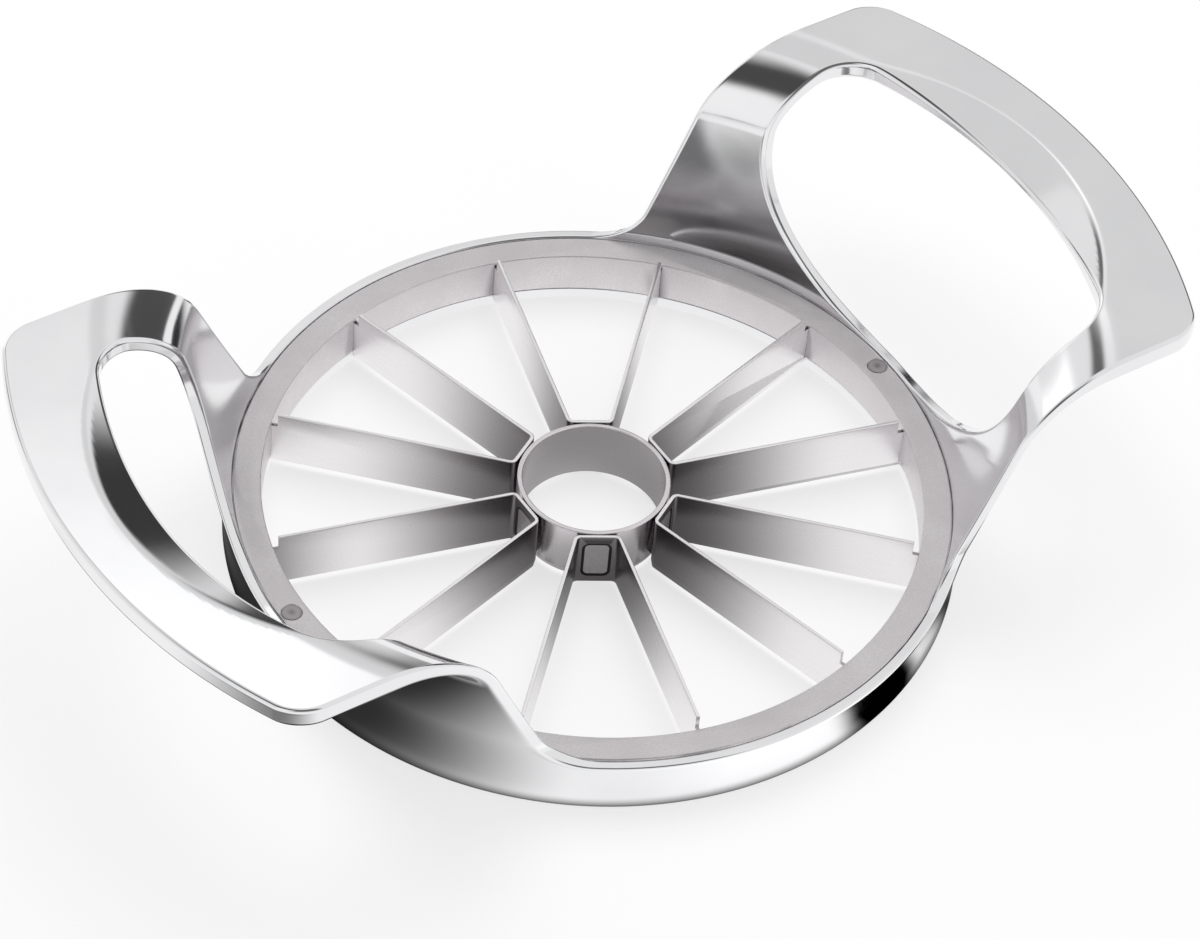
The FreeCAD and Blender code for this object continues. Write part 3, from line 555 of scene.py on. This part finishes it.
def polished_zinc_casting():
    """Die-cast zinc alloy, buffed by hand: bright, soft-edged reflections, slightly uneven
    where the wheel ran, over a faint long wave that the casting keeps."""
    material, tree, shader = new_material("polished_zinc_casting")
    where = add_node(tree, "ShaderNodeTexCoord").outputs["Object"]
    buffing = add_node(tree, "ShaderNodeTexNoise", {"Vector": where},
                       {"Scale": 1 / (BUFFING_SIZE * MM), "Detail": 3.0}).outputs["Fac"]
    grain = add_node(tree, "ShaderNodeTexNoise", {"Vector": where},
                     {"Scale": 1 / (POLISH_GRAIN * MM), "Detail": 2.0}).outputs["Fac"]
    colour = add_node(tree, "ShaderNodeMix", {SHARE: buffing},
                      {FIRST_TINT: tint("#E6E6E8"), SECOND_TINT: tint("#F2F2F3")},
                      data_type="RGBA")
    sheen = add_node(tree, "ShaderNodeMapRange", {"Value": buffing},
                     {"To Min": 0.08, "To Max": 0.12})
    fine = add_node(tree, "ShaderNodeMapRange", {"Value": grain},
                    {"To Min": -0.01, "To Max": 0.01})
    rough = add_node(tree, "ShaderNodeMath", {0: sheen.outputs[0], 1: fine.outputs[0]},
                     operation="ADD")
    lay_finish(tree, shader, colour.outputs[MIXED_TINT], rough.outputs[0], buffing, BUFFING_WAVE)
    return material


def blasted_steel_ring():
    """Stainless steel ring, blasted with fine glass beads: an even satin grey with a tight
    grain and hardly any reflections."""
    material, tree, shader = new_material("blasted_steel_ring")
    where = add_node(tree, "ShaderNodeTexCoord").outputs["Object"]
    beads = add_node(tree, "ShaderNodeTexNoise", {"Vector": where},
                     {"Scale": 1 / (BEAD_MARK * MM), "Detail": 2.0}).outputs["Fac"]
    cloud = add_node(tree, "ShaderNodeTexNoise", {"Vector": where},
                     {"Scale": 1 / (BLAST_CLOUD * MM), "Detail": 2.0}).outputs["Fac"]
    shade = add_node(tree, "ShaderNodeMath", {0: beads, 1: cloud}, operation="MULTIPLY")
    share = add_node(tree, "ShaderNodeMapRange", {"Value": shade.outputs[0]},
                     {"To Min": -0.4, "To Max": 2.0})
    colour = add_node(tree, "ShaderNodeMix", {SHARE: share.outputs[0]},
                      {FIRST_TINT: tint("#D8D4D6"), SECOND_TINT: tint("#EFECEE")},
                      data_type="RGBA")
    rough = add_node(tree, "ShaderNodeMapRange", {"Value": cloud},
                     {"To Min": 0.38, "To Max": 0.5})
    lay_finish(tree, shader, colour.outputs[MIXED_TINT], rough.outputs[0], beads, BEAD_DEPTH)
    return material


def ground_blade_steel_painted_light():
    """Rolled stainless strip with lengthwise belt grinding: fine lines along each blade, with
    painted shade that darkens it towards the axis and a painted highlight on its top edge."""
    material, tree, shader = new_material("ground_blade_steel_painted_light")
    lines, reach, height = lay_lines(tree, 4.0)
    # painted shade: the darker tint that a blade takes near the axis
    shaded_tint = add_node(tree, "ShaderNodeMix", {SHARE: lines},
                    {FIRST_TINT: tint("#7A7678"), SECOND_TINT: tint("#868284")},
                    data_type="RGBA")
    belt = add_node(tree, "ShaderNodeMix", {SHARE: lines},
                    {FIRST_TINT: tint("#E8E5E7"), SECOND_TINT: tint("#F3F1F2")},
                    data_type="RGBA")
    # the painted shade fades out between these distances from the axis
    shade_fade = add_node(tree, "ShaderNodeMapRange", {"Value": reach},
                      {"From Min": SHADE_FULL_REACH * MM, "From Max": SHADE_END_REACH * MM},
                      interpolation_type="SMOOTHSTEP")
    face = add_node(tree, "ShaderNodeMix",
                    {SHARE: shade_fade.outputs[0], FIRST_TINT: shaded_tint.outputs[MIXED_TINT],
                     SECOND_TINT: belt.outputs[MIXED_TINT]}, data_type="RGBA")
    # painted highlight: the blade's top edge is lightened to near white
    top = add_node(tree, "ShaderNodeMapRange", {"Value": height},
                   {"From Min": (BLADE_TOP - TOP_HIGHLIGHT_START) * MM,
                    "From Max": (BLADE_TOP - TOP_HIGHLIGHT_FULL) * MM})
    colour = add_node(tree, "ShaderNodeMix",
                      {SHARE: top.outputs[0], FIRST_TINT: face.outputs[MIXED_TINT]},
                      {SECOND_TINT: tint("#F6F4F5")}, data_type="RGBA")
    rough = add_node(tree, "ShaderNodeMapRange", {"Value": lines},
                     {"To Min": 0.22, "To Max": 0.36})
    lay_finish(tree, shader, colour.outputs[MIXED_TINT], rough.outputs[0], lines, LINE_DEPTH)
    return material


def rolled_tube_steel():
    """Welded stainless tube, rolled and lightly brushed round: pale, slightly lilac, with
    fine level lines."""
    material, tree, shader = new_material("rolled_tube_steel")
    lines = lay_lines(tree, 3.0)[0]
    colour = add_node(tree, "ShaderNodeMix", {SHARE: lines},
                      {FIRST_TINT: tint("#DAD5D8"), SECOND_TINT: tint("#EAE6E9")},
                      data_type="RGBA")
    rough = add_node(tree, "ShaderNodeMapRange", {"Value": lines},
                     {"To Min": 0.2, "To Max": 0.32})
    lay_finish(tree, shader, colour.outputs[MIXED_TINT], rough.outputs[0], lines, LINE_DEPTH)
    return material


def set_rivet_steel():
    """The head of a steel rivet, set and ground flush: a dull grey with turned rings."""
    material, tree, shader = new_material("set_rivet_steel")
    where = add_node(tree, "ShaderNodeTexCoord").outputs["Object"]
    apart = add_node(tree, "ShaderNodeVectorMath", {0: where}, operation="ABSOLUTE")
    local = add_node(tree, "ShaderNodeVectorMath", {0: apart.outputs[0]},
                     {1: (RIVET_RADIUS * MM, 0, LEDGE_TOP * MM)}, operation="SUBTRACT")
    rings = add_node(tree, "ShaderNodeTexWave", {"Vector": local.outputs[0]},
                     {"Scale": 2 * math.pi / (WAVE_RATE * TURNED_RING * MM),
                      "Distortion": 1.5},
                     wave_type="RINGS", rings_direction="Z").outputs["Fac"]
    colour = add_node(tree, "ShaderNodeMix", {SHARE: rings},
                      {FIRST_TINT: tint("#8B8789"), SECOND_TINT: tint("#B4B0B2")},
                      data_type="RGBA")
    rough = add_node(tree, "ShaderNodeMapRange", {"Value": rings},
                     {"To Min": 0.32, "To Max": 0.5})
    lay_finish(tree, shader, colour.outputs[MIXED_TINT], rough.outputs[0], rings, LINE_DEPTH)
    return material


def spot_weld_steel(name, dark, pale):
    """The mark that the welder's electrode leaves: scaled, dull steel, mottled by heat."""
    material, tree, shader = new_material(name)
    where = add_node(tree, "ShaderNodeTexCoord").outputs["Object"]
    scale = add_node(tree, "ShaderNodeTexNoise", {"Vector": where},
                     {"Scale": 1 / (WELD_MOTTLE * MM), "Detail": 4.0}).outputs["Fac"]
    colour = add_node(tree, "ShaderNodeMix", {SHARE: scale},
                      {FIRST_TINT: tint(dark), SECOND_TINT: tint(pale)}, data_type="RGBA")
    rough = add_node(tree, "ShaderNodeMapRange", {"Value": scale},
                     {"To Min": 0.4, "To Max": 0.6})
    lay_finish(tree, shader, colour.outputs[MIXED_TINT], rough.outputs[0], scale, LINE_DEPTH)
    return material


def set_materials(obj, *materials):
    obj.data.materials.clear()
    for material in materials:
        obj.data.materials.append(material)


# ------------------------------------------------------------------ the steel pieces


def finished_copy(name, slot, *materials):
    """A copy of a CAD node with its loose triangles merged into whole faces, which stands
    for it and takes finer edges."""
    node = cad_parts[name]
    piece = bpy.data.objects.new(name + "_finished", node.data.copy())
    bpy.context.collection.objects.link(piece)
    set_materials(piece, *materials)
    make_active(piece)
    bpy.ops.object.mode_set(mode="EDIT")
    bpy.ops.mesh.select_all(action="SELECT")
    bpy.ops.mesh.remove_doubles(threshold=SAME_POINT)
    bpy.ops.mesh.select_all(action="SELECT")
    bpy.ops.mesh.dissolve_limited(angle_limit=math.radians(SAME_FACE))
    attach(piece, "root")
    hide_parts(name)
    return piece


def is_sharp(edge):
    """Whether an edge sticks out and its two faces meet at a clear angle."""
    return (len(edge.link_faces) == 2 and edge.is_convex
            and edge.link_faces[0].normal.dot(edge.link_faces[1].normal) < STEEL_SHARP)


def soften(piece, rounding, test):
    """Round the sharp edges that pass the test, by a width and a number of segments."""
    width, segments = rounding
    pick(piece, "EDGE", lambda edge: is_sharp(edge) and test(edge))
    bpy.ops.mesh.bevel(offset=width * MM, segments=segments, affect="EDGES", clamp_overlap=False)


def smooth_off(piece):
    """Leave edit mode and shade the piece smooth where it is round."""
    bpy.ops.object.mode_set(mode="OBJECT")
    make_active(piece)
    bpy.ops.object.shade_smooth_by_angle(angle=math.radians(SMOOTH_ANGLE))


def all_near_height(edge, height):
    """Whether an edge lies level at that height."""
    return all(near(p.co.z, height * MM, 1e-5) for p in edge.verts)


def finish_blade_ring():
    """The inner ring, rounded along the top of its hole."""
    piece = finished_copy("blade_ring", "blasted_steel", blasted_steel_ring())
    hole = SEAT_RADIUS - LEDGE_WIDTH

    def is_hole_edge(edge):
        return (all_near_height(edge, LEDGE_TOP)
                and all(p.co.to_2d().length < (hole + 0.1) * MM for p in edge.verts))

    soften(piece, RING_EDGE, is_hole_edge)
    smooth_off(piece)


def finish_core_tube():
    """The core tube, rounded along its top."""
    piece = finished_copy("core_tube", "blade_steel", rolled_tube_steel())
    soften(piece, TUBE_EDGE, lambda edge: all_near_height(edge, BLADE_TOP))
    smooth_off(piece)


def finish_rivets():
    """The two rivets, rounded along the rims of their heads."""
    piece = finished_copy("ring_rivets", "rivet_steel", set_rivet_steel())
    soften(piece, RIVET_EDGE, lambda edge: all_near_height(edge, LEDGE_TOP))
    smooth_off(piece)


# A strip has three materials: its ground steel, then these two.
MARK_PLACE = 1
OUTLINE_PLACE = 2


def finish_strips():
    """The six strips, rounded along their tops, each with the spot weld's mark and the
    mark's heat-darkened outline on its flat base."""
    steel = ground_blade_steel_painted_light()
    mark = spot_weld_steel("spot_weld_mark", "#A5A1A3", "#CFCBCD")
    burnt = spot_weld_steel("spot_weld_outline", "#2A2728", "#464244")
    for number in range(STRIP_COUNT):
        name = "blade_strip_%d" % (number + 1)
        piece = finished_copy(name, "blade_steel", steel, mark, burnt)
        turn = 2 * math.pi * number / STRIP_COUNT
        ahead = Vector((math.cos(turn), math.sin(turn), 0))

        def is_mark(face):
            depth = BASE_OUTER * MM - face.calc_center_median().dot(ahead)
            return face.normal.dot(ahead) > 0.999 and near(depth, WELD_MARK * MM, 1e-5)

        def is_mark_wall(face):
            depth = BASE_OUTER * MM - face.calc_center_median().dot(ahead)
            return abs(face.normal.dot(ahead)) < 0.01 and near(depth, WELD_MARK / 2 * MM, 2e-5)

        pick(piece, "FACE", is_mark_wall)
        piece.active_material_index = OUTLINE_PLACE
        bpy.ops.object.material_slot_assign()
        pick(piece, "FACE", is_mark)
        bpy.ops.object.material_slot_assign()
        bpy.ops.mesh.inset(thickness=WELD_OUTLINE * MM)
        piece.active_material_index = MARK_PLACE
        bpy.ops.object.material_slot_assign()
        soften(piece, BLADE_EDGE, lambda edge: all_near_height(edge, BLADE_TOP))
        smooth_off(piece)


# ------------------------------------------------------------------ stage

FLOOR_SIZE = 6.0           # metres
FLOOR_GLOW = 0.7           # how far the floor is lifted to white for the camera

# Plain white all round gives polished metal no form, so the table and the light tent hold
# soft cards, as in any studio, and the camera sees plain white in their place.  Each card
# has its middle (two numbers), its half widths, how soft its edges are, and its brightness.
# A later card lies over an earlier one.
TABLE = 1.0                # brightness of the bare table
TABLE_CARDS = (            # places in millimetres
    (-140, -66, 50, 45, 25, 20, 0.22),   # shade thrown by the left handle
    (-72, -10, 26, 49, 12, 8, 0.03),     # painted shade under the left handle, seen only by the metal
    (125, 72, 80, 14, 10, 6, 0.03),      # dark card behind the right handle
    (8, -70, 34, 12, 12, 5, 1.22),       # white card before the front wall
    (47, -46, 10, 7, 3, 3, 0.12),        # painted shade under the near right leg, seen only by the metal
    (26, -55, 14, 4, 3.5, 1.5, 0.0),     # black strip at the right of the front wall
    (2, -4, 22, 22, 17, 17, 0.32),       # shade round the core tube
)
FOOT_SHADE = 2.0           # how far the shade at the ring's foot spreads, in millimetres
FOOT_LIGHT = 0.2           # the share of light that is left at the foot itself
TENT = 0.88                # brightness of the bare tent
TENT_CARDS = (             # heading and climb in degrees
    (-78, -2, 30, 6, 10, 4, 0.9),        # light card low in front
    (48, 39, 8, 8, 5, 4, 0.75),          # soft grey over the right handle
    (-168, 58, 46, 17, 20, 9, 0.07),     # dark sweep overhead, across the far right leg
    (-105, 42, 26, 26, 8, 9, 0.15),      # dark card in front, which lines the edges
    (114, 52, 8, 13, 4, 6, 0.6),         # soft grey high behind
    (74, 41, 6, 5, 3, 3, 0.12),          # dark strip over the near right leg
    (-154, 22, 12, 18, 4, 6, 1.0),       # white card below the dark sweep
    (34, 19, 11, 13, 4, 4, 0.04),        # dark card for the left finger bevel
    (54, 2, 5, 26, 1.5, 9, 0.06),        # dark card for the near left leg
    (13, 15, 13, 18, 5, 4, 0.08),        # dark card for the far left leg
    (91, 4, 7, 22, 3, 4, 1.3),           # white card for the near right leg
    (61.3, 50.5, 4.8, 4, 1, 2, 1.3),     # white card over the left handle's near end
    (86, 75, 30, 24.2, 3, 0.8, 0.74),    # soft grey for the right finger bevel
    (116, 9, 7, 8, 4, 4, 0.25),          # grey card low behind, for the near right leg
)


def lay_cards(tree, axes, unit, base, cards):
    """The brightness that the cards give, over a plain base, along two measured axes.  A
    distance is taken the short way round, as headings need; the table's stay as they are."""
    light = None
    for *place, shine in cards:
        covers = []
        for axis, middle, half, soft in zip(axes, place[0:2], place[2:4], place[4:6]):
            gap = add_node(tree, "ShaderNodeMath", {0: axis}, {1: middle * unit},
                           operation="SUBTRACT")
            around = add_node(tree, "ShaderNodeMath", {0: gap.outputs[0]},
                              {1: -math.pi, 2: math.pi}, operation="WRAP")
            size = add_node(tree, "ShaderNodeMath", {0: around.outputs[0]},
                            operation="ABSOLUTE")
            cover = add_node(tree, "ShaderNodeMapRange", {"Value": size.outputs[0]},
                             {"From Min": (half - soft) * unit, "From Max": (half + soft) * unit,
                              "To Min": 1.0, "To Max": 0.0}, interpolation_type="SMOOTHSTEP")
            covers.append(cover.outputs[0])
        share = add_node(tree, "ShaderNodeMath", {0: covers[0], 1: covers[1]},
                         operation="MULTIPLY")
        mix = add_node(tree, "ShaderNodeMix", {SHARE: share.outputs[0]},
                       {FIRST_NUMBER: base, SECOND_NUMBER: shine}, data_type="FLOAT")
        if light is not None:
            tree.links.new(light, mix.inputs[FIRST_NUMBER])
        light = mix.outputs[0]
    return light


def table_light(tree):
    """The table's brightness for the metal: its cards, and a shade at the ring's foot."""
    where = add_node(tree, "ShaderNodeTexCoord").outputs["Object"]
    parts = add_node(tree, "ShaderNodeSeparateXYZ", {0: where}).outputs
    cards = lay_cards(tree, (parts["X"], parts["Y"]), MM, TABLE, TABLE_CARDS)
    reach = add_node(tree, "ShaderNodeVectorMath", {0: where}, operation="LENGTH")
    gap = add_node(tree, "ShaderNodeMath", {0: reach.outputs["Value"]},
                   {1: RING_RADIUS * MM}, operation="SUBTRACT")
    apart = add_node(tree, "ShaderNodeMath", {0: gap.outputs[0]}, operation="ABSOLUTE")
    foot = add_node(tree, "ShaderNodeMapRange", {"Value": apart.outputs[0]},
                    {"From Max": FOOT_SHADE * MM, "To Min": FOOT_LIGHT},
                    interpolation_type="SMOOTHSTEP")
    light = add_node(tree, "ShaderNodeMath", {0: cards, 1: foot.outputs[0]},
                     operation="MULTIPLY")
    return light.outputs[0]


def add_stage():
    """A white paper floor.  It keeps the object's shadow, and shows the metal its cards."""
    deselect()
    bpy.ops.mesh.primitive_plane_add(size=FLOOR_SIZE, location=(0, 0, 0))
    floor = bpy.context.object
    floor.name = "floor"
    material = bpy.data.materials.new("white_studio_floor")
    material.use_nodes = True
    tree = material.node_tree
    tree.nodes.clear()
    path = add_node(tree, "ShaderNodeLightPath").outputs
    paper = add_node(tree, "ShaderNodeBsdfDiffuse", values={"Color": tint("#F6F6F6")})
    glow = add_node(tree, "ShaderNodeEmission", values={"Color": tint("#FFFFFF"),
                                                        "Strength": 1.0})
    lift = add_node(tree, "ShaderNodeMath", {0: path["Is Camera Ray"]}, {1: FLOOR_GLOW},
                    operation="MULTIPLY")
    seen = add_node(tree, "ShaderNodeMixShader",
                    {0: lift.outputs[0], 1: paper.outputs[0], 2: glow.outputs[0]})
    cards = add_node(tree, "ShaderNodeEmission", {"Strength": table_light(tree)},
                     {"Color": tint("#FFFFFF")})
    both = add_node(tree, "ShaderNodeMixShader",
                    {0: path["Is Glossy Ray"], 1: seen.outputs[0], 2: cards.outputs[0]})
    add_node(tree, "ShaderNodeOutputMaterial", {"Surface": both.outputs[0]})
    floor.data.materials.append(material)


def add_sky():
    """The light tent with its cards, seen by the metal, and plain white for the camera."""
    world = bpy.data.worlds.new("studio")
    bpy.context.scene.world = world
    world.use_nodes = True
    tree = world.node_tree
    tree.nodes.clear()
    where = add_node(tree, "ShaderNodeTexCoord").outputs["Generated"]
    parts = add_node(tree, "ShaderNodeSeparateXYZ", {0: where}).outputs
    heading = add_node(tree, "ShaderNodeMath", {0: parts["Y"], 1: parts["X"]},
                       operation="ARCTAN2")
    climb = add_node(tree, "ShaderNodeMath", {0: parts["Z"]}, operation="ARCSINE")
    light = lay_cards(tree, (heading.outputs[0], climb.outputs[0]), math.radians(1), TENT,
                      TENT_CARDS)
    path = add_node(tree, "ShaderNodeLightPath").outputs
    shown = add_node(tree, "ShaderNodeMix", {SHARE: path["Is Camera Ray"], FIRST_NUMBER: light},
                     {SECOND_NUMBER: 1.0}, data_type="FLOAT")
    sky = add_node(tree, "ShaderNodeBackground", {"Strength": shown.outputs[0]},
                   {"Color": tint("#FFFFFF")})
    add_node(tree, "ShaderNodeOutputWorld", {"Surface": sky.outputs[0]})


LAMP_POWER = 6.0           # watts
LAMP_SIZE = 0.8            # metres
LAMP_PLACE = Vector((0.25, 0.35, 1.0))


def hang_softbox():
    """A large soft lamp overhead, which the metal doesn't mirror."""
    light = bpy.data.lights.new("overhead_softbox", "AREA")
    light.energy = LAMP_POWER
    light.size = LAMP_SIZE
    lamp = bpy.data.objects.new("overhead_softbox", light)
    lamp.location = LAMP_PLACE
    lamp.rotation_euler = (-LAMP_PLACE).to_track_quat("-Z", "Y").to_euler()
    lamp.visible_glossy = False
    bpy.context.collection.objects.link(lamp)


# ------------------------------------------------------------------ camera

CAMERA_PLACE = Vector((-298.1, -400.7, 526.9)) * MM
CAMERA_ROLL = 5.35         # degrees
CAMERA_LENS = 139.6        # millimetres, as the sensor's width is
SENSOR_WIDTH = 36.0
SHIFT_X = 0.0086           # shares of the frame's width
SHIFT_Y = 0.047


def add_camera():
    """The camera looks at the middle of the ring's foot and is rolled a little."""
    data = bpy.data.cameras.new("camera")
    data.lens = CAMERA_LENS
    data.sensor_width = SENSOR_WIDTH
    data.sensor_fit = "HORIZONTAL"
    data.shift_x = SHIFT_X
    data.shift_y = SHIFT_Y
    camera = bpy.data.objects.new("camera", data)
    ahead = -CAMERA_PLACE.normalized()
    right = ahead.cross(Vector((0, 0, 1))).normalized()
    up = right.cross(ahead)
    roll = math.radians(CAMERA_ROLL)
    across = math.cos(roll) * right + math.sin(roll) * up
    upward = -math.sin(roll) * right + math.cos(roll) * up
    turn = Matrix((across, upward, -ahead)).transposed().to_4x4()
    camera.matrix_world = Matrix.Translation(CAMERA_PLACE) @ turn
    bpy.context.collection.objects.link(camera)
    bpy.context.scene.camera = camera


def main():
    casting = make_casting()
    set_materials(casting, polished_zinc_casting())
    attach(casting, "root")
    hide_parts("frame_casting")
    finish_blade_ring()
    finish_core_tube()
    finish_rivets()
    finish_strips()
    add_stage()
    add_sky()
    hang_softbox()
    add_camera()
    bpy.context.scene.view_settings.view_transform = "Standard"


main()
